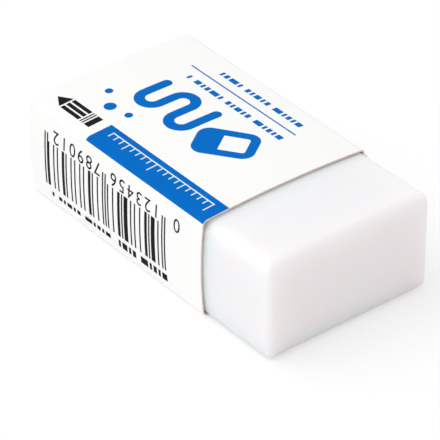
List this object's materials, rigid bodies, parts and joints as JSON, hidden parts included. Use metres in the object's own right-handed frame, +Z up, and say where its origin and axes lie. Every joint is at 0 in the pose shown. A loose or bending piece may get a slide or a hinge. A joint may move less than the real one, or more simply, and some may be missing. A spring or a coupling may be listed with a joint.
{
  "type": "plastic eraser",
  "caption": "Small white vinyl eraser block in a folded card sleeve that slides back along it to bare more of the working end.",
  "frame": {"origin": "middle of the whole part's box in X and Y, on the surface it rests on, which is the sleeve's underside", "axes": "+X along the length towards the bare working end, +Y across the width towards the sleeve's glued side, +Z up"},
  "size_m": [0.0424, 0.0236, 0.0131],
  "materials": {
    "white_vinyl": "smooth satin white vinyl, slightly translucent",
    "sleeve_card": "thin white-faced card with a light gloss outside, uncoated grey-white board inside",
    "blue_ink": "bright blue printing ink with a light gloss",
    "black_ink": "black printing ink",
    "white_ink": "white marks on the blue band"
  },
  "bodies": {
    "block": {"eraser_block": "white_vinyl"},
    "sleeve": {"card_sleeve": "sleeve_card"}
  },
  "joints": [
    {"name": "sleeve_slide", "type": "slide", "parent": "block", "child": "sleeve", "axis": [1, 0, 0], "range_m": [-0.03, 0.011]}
  ]
}
